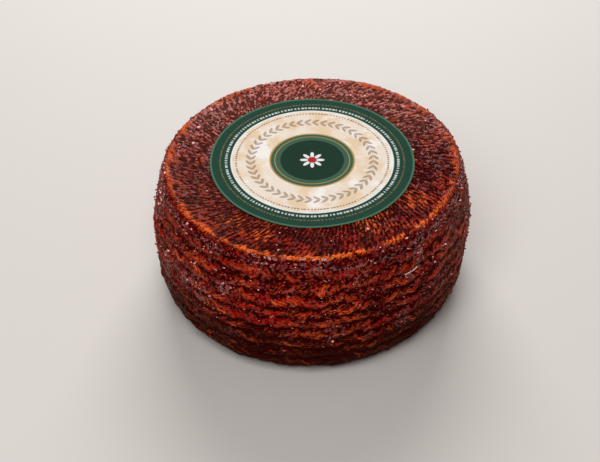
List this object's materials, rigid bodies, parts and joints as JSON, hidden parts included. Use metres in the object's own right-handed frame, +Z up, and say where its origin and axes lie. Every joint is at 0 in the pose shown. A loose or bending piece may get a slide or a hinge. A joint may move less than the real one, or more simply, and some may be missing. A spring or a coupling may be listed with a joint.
{
  "type": "cheese wheel",
  "caption": "Low round wheel of cured cheese with bulging sides, a paprika-rubbed rind that bears a plaited mould print, a ribbed top and a round paper label lying on it.",
  "frame": {"origin": "middle of the wheel's box, on the plane of the flat foot that it rests on", "axes": "+Z up along the wheel's axis, front of the picture towards -Y, its right towards +X"},
  "size_m": [0.1898, 0.1874, 0.0873],
  "materials": {
    "rind": "oily paprika-rubbed cheese rind, dark red with orange ridges",
    "label_paper": "satin printed paper, green ring round a cream field"
  },
  "bodies": {
    "root": {"cheese_wheel": "rind", "paper_label": "label_paper"}
  },
  "joints": []
}
